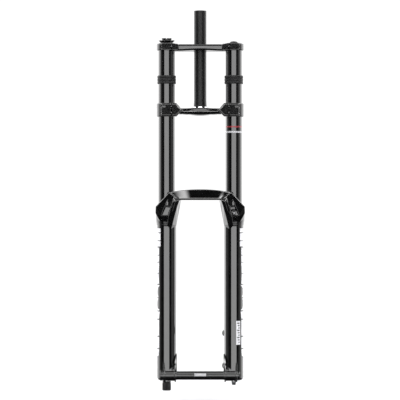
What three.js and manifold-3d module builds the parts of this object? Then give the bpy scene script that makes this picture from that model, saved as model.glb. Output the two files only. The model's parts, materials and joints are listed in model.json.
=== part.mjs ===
// A dual-crown downhill suspension fork: two crowns clamp a pair of stanchions to a straight steerer, and a one-piece
// lower-leg casting slides on the stanchions. One leg holds the damper, the other the air spring.
// Millimetres, +Z up along the steerer, -Y towards the front of the bicycle, +X towards the rider's left (the air side).
// The origin is on the steerer's axis, at the flat of the lower crown that the headset's crown race rests on.

import * as THREE from "three";
import { ConvexGeometry } from "three/addons/geometries/ConvexGeometry.js";
import { mergeVertices } from "three/addons/utils/BufferGeometryUtils.js";
import Module from "manifold-3d";

// Driving dimensions.
const TRAVEL = 200;
const LEG_X = 76.5; // from the steerer's axis to each stanchion's axis
const CROWN_OFFSET = 36; // stanchion axes ahead of the steerer's axis
const AXLE_OFFSET = 52; // axle ahead of the steerer's axis
const AXLE_DROP = 610; // axle below the crown race flat
const STEERER_R = 14.3; // 1-1/8 inch
const STEERER_BORE_R = 11.9;
const STEERER_TOP = 223;
const STANCHION_R = 19; // 38 mm stanchions
const STANCHION_BORE_R = 16.6;
const AXLE_R = 10; // 20 mm through axle
const HUB_HALF = 55; // 110 mm hub
const LEG_R = 22.3;

// Derived places.
const LEG_Y = -CROWN_OFFSET;
const AXLE_Y = -AXLE_OFFSET;
const AXLE_Z = -AXLE_DROP;
const LOWER_CROWN = { top: 0, bottom: -16.9, clampTop: 8.7, clampBottom: -21.7 };
const UPPER_CROWN = { top: 142.6, bottom: 128.2, clampTop: 144.6, clampBottom: 129.2 };
const CLAMP_R = 23;
const STANCHION_TOP = 143;
const STANCHION_BOTTOM = -388;
const LEG_TOP = LOWER_CROWN.clampBottom - TRAVEL - 4.3; // the wiper's lip and its clearance fit in between
const LEG_BOTTOM = AXLE_Z - 12;
const LEG_BORE_R = 20.4;
const LEG_FLOOR = -596; // the leg's bore ends above the axle
const SEAL_BORE_R = 22.7;
const SEAL_SEAT = LEG_TOP - 14;
const ARCH_BACK = -68.6; // behind this plane the arch would meet the lower crown at full travel
const SHAFT_R = 6;
const GAP = 0.3; // between faces that rest on each other
const FINE = 24; // sides of the large round parts
const COARSE = 12; // sides of the small and hidden ones

const MATERIALS = {
  gloss_black_paint: { color: 0x0b0b0c, roughness: 0.12, metalness: 0.0 },
  black_anodised: { color: 0x101011, roughness: 0.25, metalness: 0.6 },
  satin_black: { color: 0x1a1a1b, roughness: 0.45, metalness: 0.3 },
  bolt_steel: { color: 0x3a3a3d, roughness: 0.35, metalness: 0.9 },
  bare_aluminium: { color: 0xb8babd, roughness: 0.3, metalness: 1.0 },
  polished_steel: { color: 0xc8c9cc, roughness: 0.15, metalness: 1.0 },
  bearing_bronze: { color: 0x7c6a45, roughness: 0.5, metalness: 0.6 },
  black_rubber: { color: 0x141414, roughness: 0.8, metalness: 0.0 },
  black_plastic: { color: 0x18181a, roughness: 0.4, metalness: 0.0 },
  foam: { color: 0x4a4a48, roughness: 1.0, metalness: 0.0 },
};

const fork = new THREE.Group();
const wasm = await Module();
wasm.setup();

// ---- Geometry helpers ----

// Turns every face round.
function flipped(geometry) {
  const index = geometry.index.array;
  for (let i = 0; i < index.length; i += 3) {
    const swap = index[i + 1];
    index[i + 1] = index[i + 2];
    index[i + 2] = swap;
  }
  return geometry;
}

// The same surface with merged vertices and only positions, facing outwards.
function outward(geometry) {
  const bare = new THREE.BufferGeometry().setAttribute("position", geometry.getAttribute("position"));
  bare.setIndex(geometry.index);
  const merged = mergeVertices(bare, 1e-4);
  const a = new THREE.Vector3();
  const b = new THREE.Vector3();
  const c = new THREE.Vector3();
  let volume = 0;
  for (let i = 0; i < merged.index.count; i += 3) {
    a.fromBufferAttribute(merged.attributes.position, merged.index.getX(i));
    b.fromBufferAttribute(merged.attributes.position, merged.index.getX(i + 1));
    c.fromBufferAttribute(merged.attributes.position, merged.index.getX(i + 2));
    volume += a.dot(b.cross(c));
  }
  return volume < 0 ? flipped(merged) : merged;
}

function toSolid(geometry) {
  const merged = outward(geometry);
  return new wasm.Manifold(
    new wasm.Mesh({
      numProp: 3,
      vertProperties: new Float32Array(merged.attributes.position.array),
      triVerts: new Uint32Array(merged.index.array),
    }),
  );
}

function toGeometry(solid) {
  const mesh = solid.getMesh();
  const geometry = new THREE.BufferGeometry();
  geometry.setAttribute("position", new THREE.BufferAttribute(new Float32Array(mesh.vertProperties), 3));
  return geometry.setIndex(new THREE.BufferAttribute(new Uint32Array(mesh.triVerts), 1));
}

const join = (parts) => toGeometry(parts.map(toSolid).reduce((whole, next) => whole.add(next)));
const cut = (base, tools) => toGeometry(tools.map(toSolid).reduce((left, tool) => left.subtract(tool), toSolid(base)));

// A profile of [radius, z] points turned about +Z.
function turned(profile, sides = FINE) {
  const points = profile.map(([r, z]) => new THREE.Vector2(r, z));
  return outward(new THREE.LatheGeometry(points, sides).rotateX(Math.PI / 2));
}

const disc = (r, z0, z1, sides = FINE) =>
  turned([[0, z0], [r, z0], [r, z1], [0, z1]], sides);

const ring = (outer, inner, z0, z1, sides = FINE) =>
  turned([[inner, z0], [outer, z0], [outer, z1], [inner, z1], [inner, z0]], sides);

// A disc lying along X.
const crossDisc = (r, x0, x1, sides = COARSE) => disc(r, x0, x1, sides).rotateY(Math.PI / 2);

// An outline in X and Y, extruded from z0 to z1.
function plate(outline, z0, z1) {
  const shape = new THREE.Shape(outline.map(([x, y]) => new THREE.Vector2(x, y)));
  return outward(new THREE.ExtrudeGeometry(shape, { depth: z1 - z0, bevelEnabled: false }).translate(0, 0, z0));
}

// A closed body through rings that have the same number of [x, y, z] points.
function loft(rings) {
  const n = rings[0].length;
  const index = [];
  for (let i = 0; i + 1 < rings.length; i++)
    for (let j = 0; j < n; j++) {
      const a = i * n + j;
      const b = i * n + ((j + 1) % n);
      index.push(a, b, b + n, a, b + n, a + n);
    }
  const last = (rings.length - 1) * n;
  for (let j = 1; j + 1 < n; j++) index.push(0, j + 1, j, last, last + j, last + j + 1);
  const geometry = new THREE.BufferGeometry();
  geometry.setAttribute("position", new THREE.Float32BufferAttribute(rings.flat(2), 3));
  return outward(geometry.setIndex(index));
}

// The convex block around some [x, y, z] points.
const block = (points) => outward(new ConvexGeometry(points.map((p) => new THREE.Vector3(...p))));

const box = (x0, x1, y0, y1, z0, z1) =>
  new THREE.BoxGeometry(x1 - x0, y1 - y0, z1 - z0).translate((x0 + x1) / 2, (y0 + y1) / 2, (z0 + z1) / 2);

const mirrored = (geometry) => outward(geometry.clone().scale(-1, 1, 1));
const bothSides = (geometries) => geometries.flatMap((g) => [g, mirrored(g)]);

// Copies of a cutter round +Z.
function round(geometry, count) {
  return Array.from({ length: count }, (_, i) => geometry.clone().rotateZ((i * 2 * Math.PI) / count));
}

function add(name, material, geometry, x = 0, y = 0, z = 0) {
  const mesh = new THREE.Mesh(geometry, new THREE.MeshStandardMaterial(MATERIALS[material]));
  mesh.name = name;
  mesh.position.set(x, y, z);
  fork.add(mesh);
}

// Adds a part on a leg's axis: side -1 is the damper side, 1 the air side.
const addOnLeg = (side, name, material, geometry, z = 0) => add(name, material, geometry, side * LEG_X, LEG_Y, z);

const LEGS = [
  ["damper", -1],
  ["air", 1],
];

// ---- Bolts ----

const BOLT = { shank: 2.5, head: 4.3, headLength: 5, socket: 2.1, socketDepth: 2.6 };

// A socket head bolt along X: the head's outer face is at x = 0 and the shank runs towards -X.
function socketBolt(length) {
  const b = BOLT;
  const profile = [
    [0, -b.socketDepth], [b.socket, -b.socketDepth], [b.socket, 0], [b.head, 0], [b.head, -b.headLength],
    [b.shank, -b.headLength], [b.shank, -length], [0, -length],
  ];
  return turned(profile, 8).rotateY(Math.PI / 2);
}

// The counterbore and hole that a bolt of that length sits in, open at the head's end.
const boltHole = (length, mouth) => [
  crossDisc(BOLT.head + 0.5, -BOLT.headLength - GAP, mouth, 8),
  crossDisc(BOLT.shank + 0.3, -length - 0.6, 1, 8),
];

// ---- Crowns ----

const EAR_FRONT = LEG_Y - 31.2;
const EAR_SLOPE = 0.105; // how the front of the ears falls back above and below its ridge
const EAR_BOLT_Y = LEG_Y - 24.4;
const SLIT_X = LEG_X - 10.2;
const SLIT_WIDTH = 1.8;
const EAR_BOLT = 30;
const EAR_BOLT_HEAD_X = LEG_X + 7;

// A slit from the stanchion's bore forwards through the clamp's ears.
const clampSlit = (z0, z1) =>
  box(SLIT_X - SLIT_WIDTH / 2, SLIT_X + SLIT_WIDTH / 2, EAR_FRONT - 2, LEG_Y - 12, z0 - 1, z1 + 1);

// Cutters for one clamp: the stanchion's bore, the slit and the bolt holes at the given heights.
function clampCutters(z0, z1, boltHeights) {
  const holes = boltHeights.flatMap((z) =>
    boltHole(EAR_BOLT, 30).map((g) => g.translate(EAR_BOLT_HEAD_X, EAR_BOLT_Y, z)),
  );
  const bore = disc(STANCHION_R + 0.15, z0 - 1, z1 + 1).translate(LEG_X, LEG_Y, 0);
  return [bore, clampSlit(z0, z1), ...holes];
}

// A clamp's round shell with chamfered rims, solid until the bore is cut.
function clampShell(z0, z1) {
  const c = 1.2;
  const profile = [[0, z0], [CLAMP_R - c, z0], [CLAMP_R, z0 + c], [CLAMP_R, z1 - c], [CLAMP_R - c, z1], [0, z1]];
  return turned(profile).translate(LEG_X, LEG_Y, 0);
}

// A clamp's ears: an outline in X and Z whose front falls back both ways from a level ridge.
function clampEars(outline, ridgeX0, ridgeX1, ridgeZ, back, front) {
  const points = outline.flatMap(([x, z]) => [[x, back, z], [x, front + Math.abs(z - ridgeZ) * EAR_SLOPE, z]]);
  return block([...points, [ridgeX0, front, ridgeZ], [ridgeX1, front, ridgeZ]]);
}

const LOWER_BOLT_HEIGHTS = [0.6, -13.4];

// The lower crown: two tall clamps, pointed lobes that flow into a ridged beam, and the hub that holds the steerer.
function lowerCrown() {
  const { top, bottom, clampTop, clampBottom } = LOWER_CROWN;
  const x = (inward) => LEG_X - inward;
  const ridge = (clampTop + clampBottom) / 2;
  const ears = clampEars(
    [
      [x(-13), clampBottom + 2.5], [x(-10.5), clampBottom], [x(23), clampBottom], [x(24.5), clampBottom + 1.5],
      [x(35), -8.7], [x(35), -6], [x(23.6), clampTop - 1], [x(22), clampTop], [x(-10.5), clampTop],
      [x(-13), clampTop - 2.5],
    ],
    x(-13), x(35), ridge, LEG_Y - 6, EAR_FRONT + 1.6,
  );
  const earFace = clampEars(
    [
      [x(-11), clampBottom + 2], [x(21.5), clampBottom + 2], [x(32.6), -8.4], [x(32.6), -6.6], [x(21), clampTop - 2.6],
      [x(-11), clampTop - 2.6],
    ],
    x(-11), x(32.6), ridge, EAR_FRONT + 6, EAR_FRONT,
  );
  // From clamp to hub: [x, front y, back y, top z, bottom z].
  const stations = [
    [62, -55, -20, -2.8, -15.6],
    [44, -55, -15, -2.6, -15.8],
    [30, -44, -1, -1.6, -16],
    [17, -32.5, 13, -0.6, -16.5],
    [0, -27, 21, top, bottom],
  ];
  const half = stations.map(([sx, front, back, z1, z0]) => [
    [sx, back, z0 + 2], [sx, back + 2, (z0 + z1) / 2], [sx, back, z1], [sx, front + 4, z1], [sx, front, z0 + 7.3],
    [sx, front + 4.5, z0],
  ]);
  const otherHalf = half.slice(0, -1).reverse().map((r) => r.map(([sx, y, z]) => [-sx, y, z]));
  const beam = loft([...half, ...otherHalf]);
  const hub = turned([
    [0, bottom], [20.5, bottom], [22.5, bottom + 2], [22.5, top], [15, top], [15, top + 4.4], [14.6, top + 4.8],
    [0, top + 4.8],
  ]);
  const body = join([beam, hub, ...bothSides([clampShell(clampBottom, clampTop), ears, earFace])]);
  const bore = disc(STEERER_R + 0.1, bottom - 1, top + 6);
  const pocket = disc(6.5, bottom - 1, bottom + 8, COARSE);
  const pockets = [[33, -24], [47, -36]].map(([px, py]) => pocket.clone().translate(px, py, 0));
  const cutters = bothSides([...clampCutters(clampBottom, clampTop, LOWER_BOLT_HEIGHTS), ...pockets]);
  return cut(body, [bore, ...cutters]);
}

const UPPER_FRONT = -57;
const UPPER_BOLT_HEIGHT = 136.9;
const STEM_CLAMP = { r: 20.5, boltY: 22.4, earX: 13, earBack: 28, boltLength: 22 };

// The upper crown: a beam with a flat front and a recess in its top, one bolt per stanchion clamp and one behind
// the steerer.
function upperCrown() {
  const { top, bottom, clampTop, clampBottom } = UPPER_CROWN;
  const x = (inward) => LEG_X - inward;
  const ears = clampEars(
    [
      [x(-12), clampBottom + 1.5], [x(-10), clampBottom], [x(26.5), bottom + 0.2], [x(26.5), top], [x(-10), clampTop],
      [x(-12), clampTop - 1.5],
    ],
    x(-12), x(26.5), UPPER_BOLT_HEIGHT, LEG_Y - 6, EAR_FRONT,
  );
  // From clamp to middle: [x, back y, how far the underside rises].
  const stations = [
    [62, -20, 0],
    [50, -17, 0],
    [34, -6, 0.4],
    [18, 8, 0.9],
    [0, 14, 1.1],
  ];
  const front = UPPER_FRONT;
  const half = stations.map(([sx, back, arch]) => [
    [sx, back, bottom + 1.5 + arch], [sx, back, top - 1.5], [sx, back - 1.5, top], [sx, front + 2.6, top],
    [sx, front, top - 3.5], [sx, front, bottom + 3.1 + arch], [sx, front + 2.6, bottom + arch],
    [sx, back - 1.5, bottom + arch],
  ]);
  const otherHalf = half.slice(0, -1).reverse().map((r) => r.map(([sx, y, z]) => [-sx, y, z]));
  const beam = loft([...half, ...otherHalf]);
  const s = STEM_CLAMP;
  const collar = disc(s.r, bottom + 1.1, top);
  const collarEars = box(-s.earX, s.earX, 8, s.earBack, bottom + 1.1, top);
  const body = join([beam, collar, collarEars, ...bothSides([clampShell(clampBottom, clampTop), ears])]);
  const collarSlit = box(-0.9, 0.9, 8, s.earBack + 1, bottom - 1, top + 1);
  const collarHoles = boltHole(s.boltLength, 30).map((g) => g.translate(s.earX - 0.6, s.boltY, UPPER_BOLT_HEIGHT - 1));
  const bore = disc(STEERER_R + 0.15, bottom - 1, top + 6);
  const recess = plate([[-30, -46], [30, -46], [20, -24], [-20, -24]], 134, top + 6);
  const cutters = bothSides(clampCutters(clampBottom, clampTop, [UPPER_BOLT_HEIGHT]));
  return cut(body, [bore, recess, collarSlit, ...collarHoles, ...cutters]);
}

function steerer() {
  const foot = LOWER_CROWN.bottom;
  return turned([
    [STEERER_BORE_R, foot], [STEERER_R - 0.6, foot], [STEERER_R, foot + 0.6], [STEERER_R, STEERER_TOP - 0.8],
    [STEERER_R - 0.8, STEERER_TOP], [STEERER_BORE_R, STEERER_TOP], [STEERER_BORE_R, foot],
  ]);
}

function addCrowns() {
  add("steerer_tube", "satin_black", steerer());
  add("lower_crown", "black_anodised", lowerCrown());
  add("upper_crown", "black_anodised", upperCrown());
  for (const [leg, side] of LEGS) {
    const bolt = side > 0 ? socketBolt(EAR_BOLT) : mirrored(socketBolt(EAR_BOLT));
    const x = side * EAR_BOLT_HEAD_X;
    add(`upper_pinch_bolt_${leg}_side`, "bolt_steel", bolt, x, EAR_BOLT_Y, UPPER_BOLT_HEIGHT);
    LOWER_BOLT_HEIGHTS.forEach((z, i) => {
      add(`lower_pinch_bolt_${leg}_side_${i + 1}`, "bolt_steel", bolt, x, EAR_BOLT_Y, z);
    });
  }
  const s = STEM_CLAMP;
  const rear = socketBolt(s.boltLength);
  add("steerer_pinch_bolt", "bolt_steel", rear, s.earX - 0.6, s.boltY, UPPER_BOLT_HEIGHT - 1);
}

// ---- Stanchions and what is fixed in them ----

function stanchion() {
  const [r, b, z0, z1] = [STANCHION_R, STANCHION_BORE_R, STANCHION_BOTTOM, STANCHION_TOP];
  return turned([[b, z0], [r - 1.2, z0], [r, z0 + 2.5], [r, z1 - 0.6], [r - 0.6, z1], [b, z1], [b, z0]]);
}

// A cap screwed into the stanchion's top, with a hexagon for a socket wrench.
function topCap(hexFlats, hexTop, boreR) {
  const z = STANCHION_TOP;
  const inside = STANCHION_BORE_R - 0.15;
  const body = turned([[0, z - 16], [inside, z - 16], [inside, z + GAP], [18.7, z + GAP], [18.7, z + 2.4],
    [17.7, z + 3.2], [0, z + 3.2]]);
  const hex = new THREE.CylinderGeometry(hexFlats / 1.732, hexFlats / 1.732, hexTop - z, 6).rotateX(Math.PI / 2);
  const whole = join([body, hex.translate(0, 0, (hexTop + z) / 2)]);
  return cut(whole, [disc(boreR, z - 20, z + 20, COARSE)]);
}

const DAMPER_TUBE = { r: 13.5, bore: 12.3, top: 112, bottom: -367 };
const SEAL_HEAD = { bottom: STANCHION_BOTTOM + 1, top: STANCHION_BOTTOM + 20 };

// Closes the stanchion's lower end round the shaft.
function sealHead() {
  const inside = STANCHION_BORE_R - 0.25;
  const { bottom, top } = SEAL_HEAD;
  return turned([
    [SHAFT_R + 0.12, bottom], [inside, bottom], [inside, top - 4], [inside - 1.5, top - 4], [inside - 1.5, top],
    [SHAFT_R + 0.12, top], [SHAFT_R + 0.12, bottom],
  ], COARSE);
}

// A ring that takes up room in the air chamber.
function volumeSpacer() {
  return turned([[4, 0], [12.5, 0], [13, 1], [13, 17], [12.5, 18], [4, 18], [4, 0]], COARSE);
}

const SPACER_TOP = STANCHION_TOP - 16.6; // the spacers hang from the cap, one under the other

function addStanchions() {
  for (const [leg, side] of LEGS) {
    addOnLeg(side, `stanchion_${leg}_side`, "black_anodised", stanchion());
    addOnLeg(side, `${leg}_seal_head`, "bare_aluminium", sealHead());
  }
  const { r, bore, top, bottom } = DAMPER_TUBE;
  addOnLeg(-1, "damper_cartridge_tube", "bare_aluminium", ring(r, bore, bottom, top, COARSE));
  addOnLeg(-1, "damper_top_cap", "black_anodised", topCap(24, STANCHION_TOP + 3.2, 5.4));
  addOnLeg(1, "air_top_cap", "black_anodised", topCap(22, STANCHION_TOP + 3.2, 4.4));
  addOnLeg(-1, "compression_valve_body", "bare_aluminium", disc(r, top + GAP, STANCHION_TOP - 16.4, COARSE));
  for (const i of [1, 2])
    addOnLeg(1, `volume_spacer_${i}`, "black_plastic", volumeSpacer(), SPACER_TOP - 18.3 * i);
}

// ---- Adjusters and valve at the top ----

const CAP_TOP = STANCHION_TOP + 3.2;

// A flared ring with notches between its fingers, for high-speed compression.
function highSpeedDial() {
  const z = CAP_TOP + GAP;
  const flare = turned([[6, z], [12.8, z], [15.2, z + 1.6], [18.6, z + 4.6], [18.6, z + 5.6], [15.4, z + 5.6],
    [13, z + 3.2], [6, z + 3.2], [6, z]]);
  const notch = new THREE.BoxGeometry(7, 3.4, 7).translate(18.4, 0, z + 5.2);
  return cut(flare, round(notch, 10));
}

// A crown-shaped knob on a short stem, for low-speed compression, with room for its screw.
function lowSpeedDial() {
  const z = CAP_TOP + GAP;
  const knob = turned([[0, z - 8], [5.1, z - 8], [5.1, z + 3.6], [9.6, z + 3.6], [11.4, z + 5], [11.9, z + 10],
    [11.4, z + 11], [8.2, z + 11], [7.6, z + 8.6], [0, z + 8.6]]);
  const notch = new THREE.BoxGeometry(6, 2.6, 5.6).translate(11.4, 0, z + 9.4);
  const screwHole = disc(1.3, z - 2, z + 12, COARSE);
  return cut(knob, [...round(notch, 8), screwHole]);
}

function dialScrew() {
  const z = CAP_TOP + GAP;
  return turned([[0, z - 1.6], [1.1, z - 1.6], [1.1, z + 8.8], [3, z + 8.8], [3, z + 9.6], [2.2, z + 10.3], [0, z + 10.3]],
    16);
}

function valveStem() {
  const z = STANCHION_TOP;
  return turned([[1.1, z - 12], [4.2, z - 12], [4.2, z + 3.4], [3.8, z + 3.8], [3.8, z + 5.2], [1.1, z + 5.2],
    [1.1, z - 12]], COARSE);
}

function valveCap() {
  const z = CAP_TOP + GAP;
  return turned([[4.1, z], [9, z], [9, z + 1.2], [7.9, z + 2.9], [5.5, z + 3.8], [0, z + 4.1], [0, z + 2.6],
    [4.1, z + 2.6], [4.1, z]]);
}

function addTopPieces() {
  addOnLeg(-1, "high_speed_compression_dial", "black_anodised", highSpeedDial());
  addOnLeg(-1, "low_speed_compression_dial", "black_anodised", lowSpeedDial());
  addOnLeg(-1, "dial_screw", "bolt_steel", dialScrew());
  addOnLeg(1, "air_valve_stem", "bare_aluminium", valveStem());
  addOnLeg(1, "air_valve_cap", "black_anodised", valveCap());
}

// ---- Frame bumpers ----

const BUMPER = { bottom: 53, height: 19, r: 21.3, padHalf: 14, padBack: 29 };

// A rubber ring with a thick pad behind, where the frame would strike the stanchion.
function bumper() {
  const { height, r, padHalf, padBack } = BUMPER;
  const band = turned([[0, 0], [r - 1, 0], [r, 1.4], [r, height - 1.4], [r - 1, height], [0, height]]);
  const pad = plate([[-padHalf, 8], [padHalf, 8], [padHalf, 20], [padHalf - 4, padBack], [4 - padHalf, padBack],
    [-padHalf, 20]], 0.6, height - 0.6);
  return cut(join([band, pad]), [disc(STANCHION_R + 0.12, -1, height + 1)]);
}

// ---- Lower legs ----

// One leg: a long cup whose floor carries the shaft's bolt, wider at the top for the seal.
function legTube() {
  const shell = turned([
    [0, LEG_BOTTOM], [15, LEG_BOTTOM], [19.6, LEG_BOTTOM + 1.8], [LEG_R, LEG_BOTTOM + 6], [LEG_R, -272],
    [24.6, -258], [25, -250], [25, LEG_TOP - 1 + 0.2], [24, LEG_TOP], [0, LEG_TOP],
  ]);
  return shell.translate(LEG_X, LEG_Y, 0);
}

// The bores for the stanchion, the seal and the foot bolt, and the room that the knob needs below the floor.
const legBores = () =>
  [
    disc(LEG_BORE_R, LEG_FLOOR, LEG_TOP + 1),
    disc(SEAL_BORE_R, SEAL_SEAT, LEG_TOP + 1),
    disc(5.2, LEG_BOTTOM - 1, LEG_FLOOR + 1, COARSE),
    disc(11.2, LEG_BOTTOM - 20, LEG_BOTTOM),
  ].map((g) => g.translate(LEG_X, LEG_Y, 0));

// The arch's bar from its middle to its corner: [x, top z, bottom z, front y].
const ARCH_STATIONS = [
  [0, -187.2, -212, -87.5],
  [14, -187.5, -212.1, -87.2],
  [28, -188.8, -212.4, -86.2],
  [40, -190.4, -212.8, -84.6],
  [49, -191.6, -213.2, -82.8],
];

function archBar() {
  const half = ARCH_STATIONS.map(([x, z1, z0, front]) => [
    [x, ARCH_BACK, z0 + 2.5], [x, ARCH_BACK, z1 - 4], [x, ARCH_BACK - 3, z1], [x, front + 7, z1],
    [x, front + 1.2, z1 - 6], [x, front, z0 + 4.4], [x, front + 1.6, z0 + 1.4], [x, front + 4.5, z0],
    [x, ARCH_BACK - 3, z0],
  ]);
  const otherHalf = half.slice(1).map((r) => r.map(([x, y, z]) => [-x, y, z]));
  return loft([...otherHalf.reverse(), ...half]);
}

// The shoulder that carries the arch on one leg: a part above the leg, all ahead of the crown, and a part that
// spreads back round the leg, hollowed by an open pocket between its inner rib and its outer wing.
function shoulder() {
  const cheek = block([
    [70, -73.5, -194], [71.4, ARCH_BACK, -194.6], [47.4, -84.6, -212], [43, ARCH_BACK, -213], [43, -70, -214],
    [46, ARCH_BACK, -227], [52.9, -82, -227], [64, -81.5, -227], [100, -70, -226], [101.2, ARCH_BACK, -226],
  ]);
  const spread = block([
    [101.2, ARCH_BACK, -226], [100, -70, -226], [64, -81.5, -227], [52.9, -82, -227], [46, ARCH_BACK, -227],
    [101.6, -60, -229], [101.6, -63, -241], [93, -48, -263], [88.5, -70.5, -247.5], [73.5, -73, -247.5],
    [90, -55.5, -262], [75, -58.5, -262], [46.5, -66, -229], [49.9, -62, -241.7], [52.9, -56, -254.4],
    [54.2, -46, -270], [54.2, -40, -230], [99.5, -40, -230], [99.5, -40, -244],
  ]);
  const rib = block([
    [60, -81, -206], [47.4, -84.6, -212], [52.9, -82, -229], [56.7, -77.5, -241.7], [60, -72, -254.4],
    [63, -66, -267], [66.5, -59, -277.5], [62.5, -83.5, -217.7], [68.5, -79, -236], [73.9, -71.5, -254.4],
    [75.2, -62, -269.6], [56, -87, -214], [63, -81.5, -238], [68.5, -71.5, -262], [43, -70, -214],
    [46.5, -66.5, -229], [49.9, -62, -241.7], [52.9, -56, -254.4], [54.2, -46, -270], [66, -52, -274],
  ]);
  return [cheek, spread, rib];
}

const POCKET_FLOOR = -61.5;

function shoulderPocket() {
  const floor = [[72.6, -213], [63.4, -219], [73.4, -246.6], [87.4, -246.6]];
  const rim = [[73.6, -208], [62.2, -217], [73.9, -247.6], [89.6, -247.6]];
  return block([...floor.map(([x, z]) => [x, POCKET_FLOOR, z]), ...rim.map(([x, z]) => [x, -92, z])]);
}

const DROPOUT = { inner: HUB_HALF - 2, flangeR: 15.3, barrelR: 12.9, outer: 84.5 };

// The axle's housing on the front of one leg: a barrel between two flanges, a web up the leg, and the hub's seat.
function dropout() {
  const { inner, flangeR, barrelR, outer } = DROPOUT;
  const at = (g) => g.translate(0, AXLE_Y, AXLE_Z);
  const innerFlange = at(crossDisc(flangeR, inner, inner + 5, 24));
  const innerWeb = block([
    [inner, AXLE_Y - 13, AXLE_Z + 8], [inner + 5, AXLE_Y - 13, AXLE_Z + 8], [inner, -40, AXLE_Z + 14],
    [inner + 5, -40, AXLE_Z + 14], [inner, -46, AXLE_Z + 48], [inner + 4, -46, AXLE_Z + 48],
    [inner, -38, AXLE_Z + 46], [inner + 5, -38, AXLE_Z + 46], [inner, -38, AXLE_Z - 8], [inner + 5, -38, AXLE_Z - 8],
  ]);
  const barrel = at(crossDisc(barrelR, inner + 2, outer - 1, 24));
  const outerFlange = at(crossDisc(flangeR, outer - 4.5, outer, 24));
  const outerWeb = block([
    [outer - 4.5, AXLE_Y - 13, AXLE_Z + 8], [outer, AXLE_Y - 13, AXLE_Z + 8], [outer - 4.5, -44, AXLE_Z + 35],
    [outer, -44, AXLE_Z + 33], [outer - 4.5, -40, AXLE_Z - 10], [outer, -40, AXLE_Z - 10],
    [outer - 4.5, AXLE_Y - 4, AXLE_Z + 31], [outer, AXLE_Y - 4, AXLE_Z + 29],
  ]);
  const saddle = block([
    [inner + 4, AXLE_Y - 9, AXLE_Z + 8], [outer - 4, AXLE_Y - 9, AXLE_Z + 8], [62, -50, AXLE_Z + 26],
    [outer - 4, -50, AXLE_Z + 26], [inner + 4, -44, AXLE_Z + 20], [62, -40, AXLE_Z - 10], [outer - 4, -40, AXLE_Z - 10],
  ]);
  return [innerFlange, innerWeb, barrel, outerFlange, outerWeb, saddle];
}

const HUB_SEAT_R = 11.8;

// The hub's end cap drops into the seat from below, so the seat is open downwards.
const hubSeat = () => [
  crossDisc(HUB_SEAT_R, HUB_HALF - 4, HUB_HALF, 24).translate(0, AXLE_Y, AXLE_Z),
  box(HUB_HALF - 4, HUB_HALF, AXLE_Y - HUB_SEAT_R, AXLE_Y + HUB_SEAT_R, AXLE_Z - 20, AXLE_Z),
];

const BRAKE = { x: 57, r: 7.6, back: 4, upper: -515, spacing: 74.2, holeR: 2.5, depth: 18 };

// A post behind the air-side leg for one of the brake caliper's bolts.
function brakePost(z) {
  const { x, r, back } = BRAKE;
  const post = disc(r, -back, 34, 20).rotateX(Math.PI / 2).translate(x, 0, z);
  const gusset = block([
    [x - 4, back - 10, z + 5], [x + 6, back - 10, z + 5], [x - 4, back - 10, z - 5], [x + 6, back - 10, z - 5],
    [x - 1, LEG_Y, z + 22], [x + 10, -20, z + 22], [x - 1, LEG_Y, z - 16], [x + 10, -20, z - 16],
  ]);
  return [post, gusset];
}

const brakeHole = (z) =>
  disc(BRAKE.holeR, -BRAKE.back - 1, BRAKE.depth, 12).rotateX(Math.PI / 2).translate(BRAKE.x, 0, z);

const BRAKE_HEIGHTS = [BRAKE.upper, BRAKE.upper - BRAKE.spacing];
const GUIDE = { x: 77, z: -240.8 };

function lowerLegs() {
  const solids = bothSides([legTube(), ...shoulder(), ...dropout()]);
  const body = join([archBar(), ...solids, ...BRAKE_HEIGHTS.flatMap(brakePost)]);
  const axleBore = crossDisc(AXLE_R + 0.1, -105, 105, FINE).translate(0, AXLE_Y, AXLE_Z);
  const headBore = crossDisc(12.4, -105, -80, FINE).translate(0, AXLE_Y, AXLE_Z);
  const guideHole = disc(1.8, 59.4, 72, 12).rotateX(Math.PI / 2).translate(GUIDE.x, 0, GUIDE.z);
  const cutters = bothSides([...legBores(), shoulderPocket(), ...hubSeat()]);
  const belowCrown = bothSides([disc(26, LEG_TOP, LEG_TOP + 60).translate(LEG_X, LEG_Y, 0)]);
  return cut(body, [axleBore, headBore, guideHole, ...BRAKE_HEIGHTS.map(brakeHole), ...belowCrown, ...cutters]);
}

function wiperSeal() {
  const [z0, z1] = [SEAL_SEAT + GAP, LEG_TOP];
  const outer = SEAL_BORE_R - 0.2;
  const inner = STANCHION_R + 0.12;
  return turned([
    [inner + 0.8, z0], [outer, z0], [outer, z1 + GAP], [23.8, z1 + GAP], [23.8, z1 + 1.2], [20.6, z1 + 2.8],
    [inner, z1 + 2.8], [inner, z1 + 1.4], [inner + 0.8, z1], [inner + 0.8, z0],
  ]);
}

// Shaft, bolt and washer that join a leg's internals to its floor. The shaft is bored for the adjuster's rod.
const SHAFT_BORE_R = 2.4;
const FOOT_BOLT_R = 4;

function shaft(top) {
  const z0 = LEG_FLOOR + GAP;
  const thread = FOOT_BOLT_R + 0.15;
  return turned([[thread, z0], [SHAFT_R, z0], [SHAFT_R, top], [SHAFT_BORE_R, top], [SHAFT_BORE_R, z0 + 24],
    [thread, z0 + 24], [thread, z0]], COARSE);
}

function footBolt(headR, tipR, headLength) {
  const z1 = LEG_FLOOR + 22;
  const under = LEG_BOTTOM - 1.5 - GAP;
  return turned([[SHAFT_BORE_R, z1], [FOOT_BOLT_R, z1], [FOOT_BOLT_R, under], [headR, under],
    [tipR, under - headLength], [SHAFT_BORE_R, under - headLength], [SHAFT_BORE_R, z1]], COARSE);
}

const washer = () => ring(7.2, FOOT_BOLT_R + 0.2, LEG_BOTTOM - 1.5, LEG_BOTTOM - GAP, COARSE);

const PISTON_BASE = SEAL_HEAD.top + 14;

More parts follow.
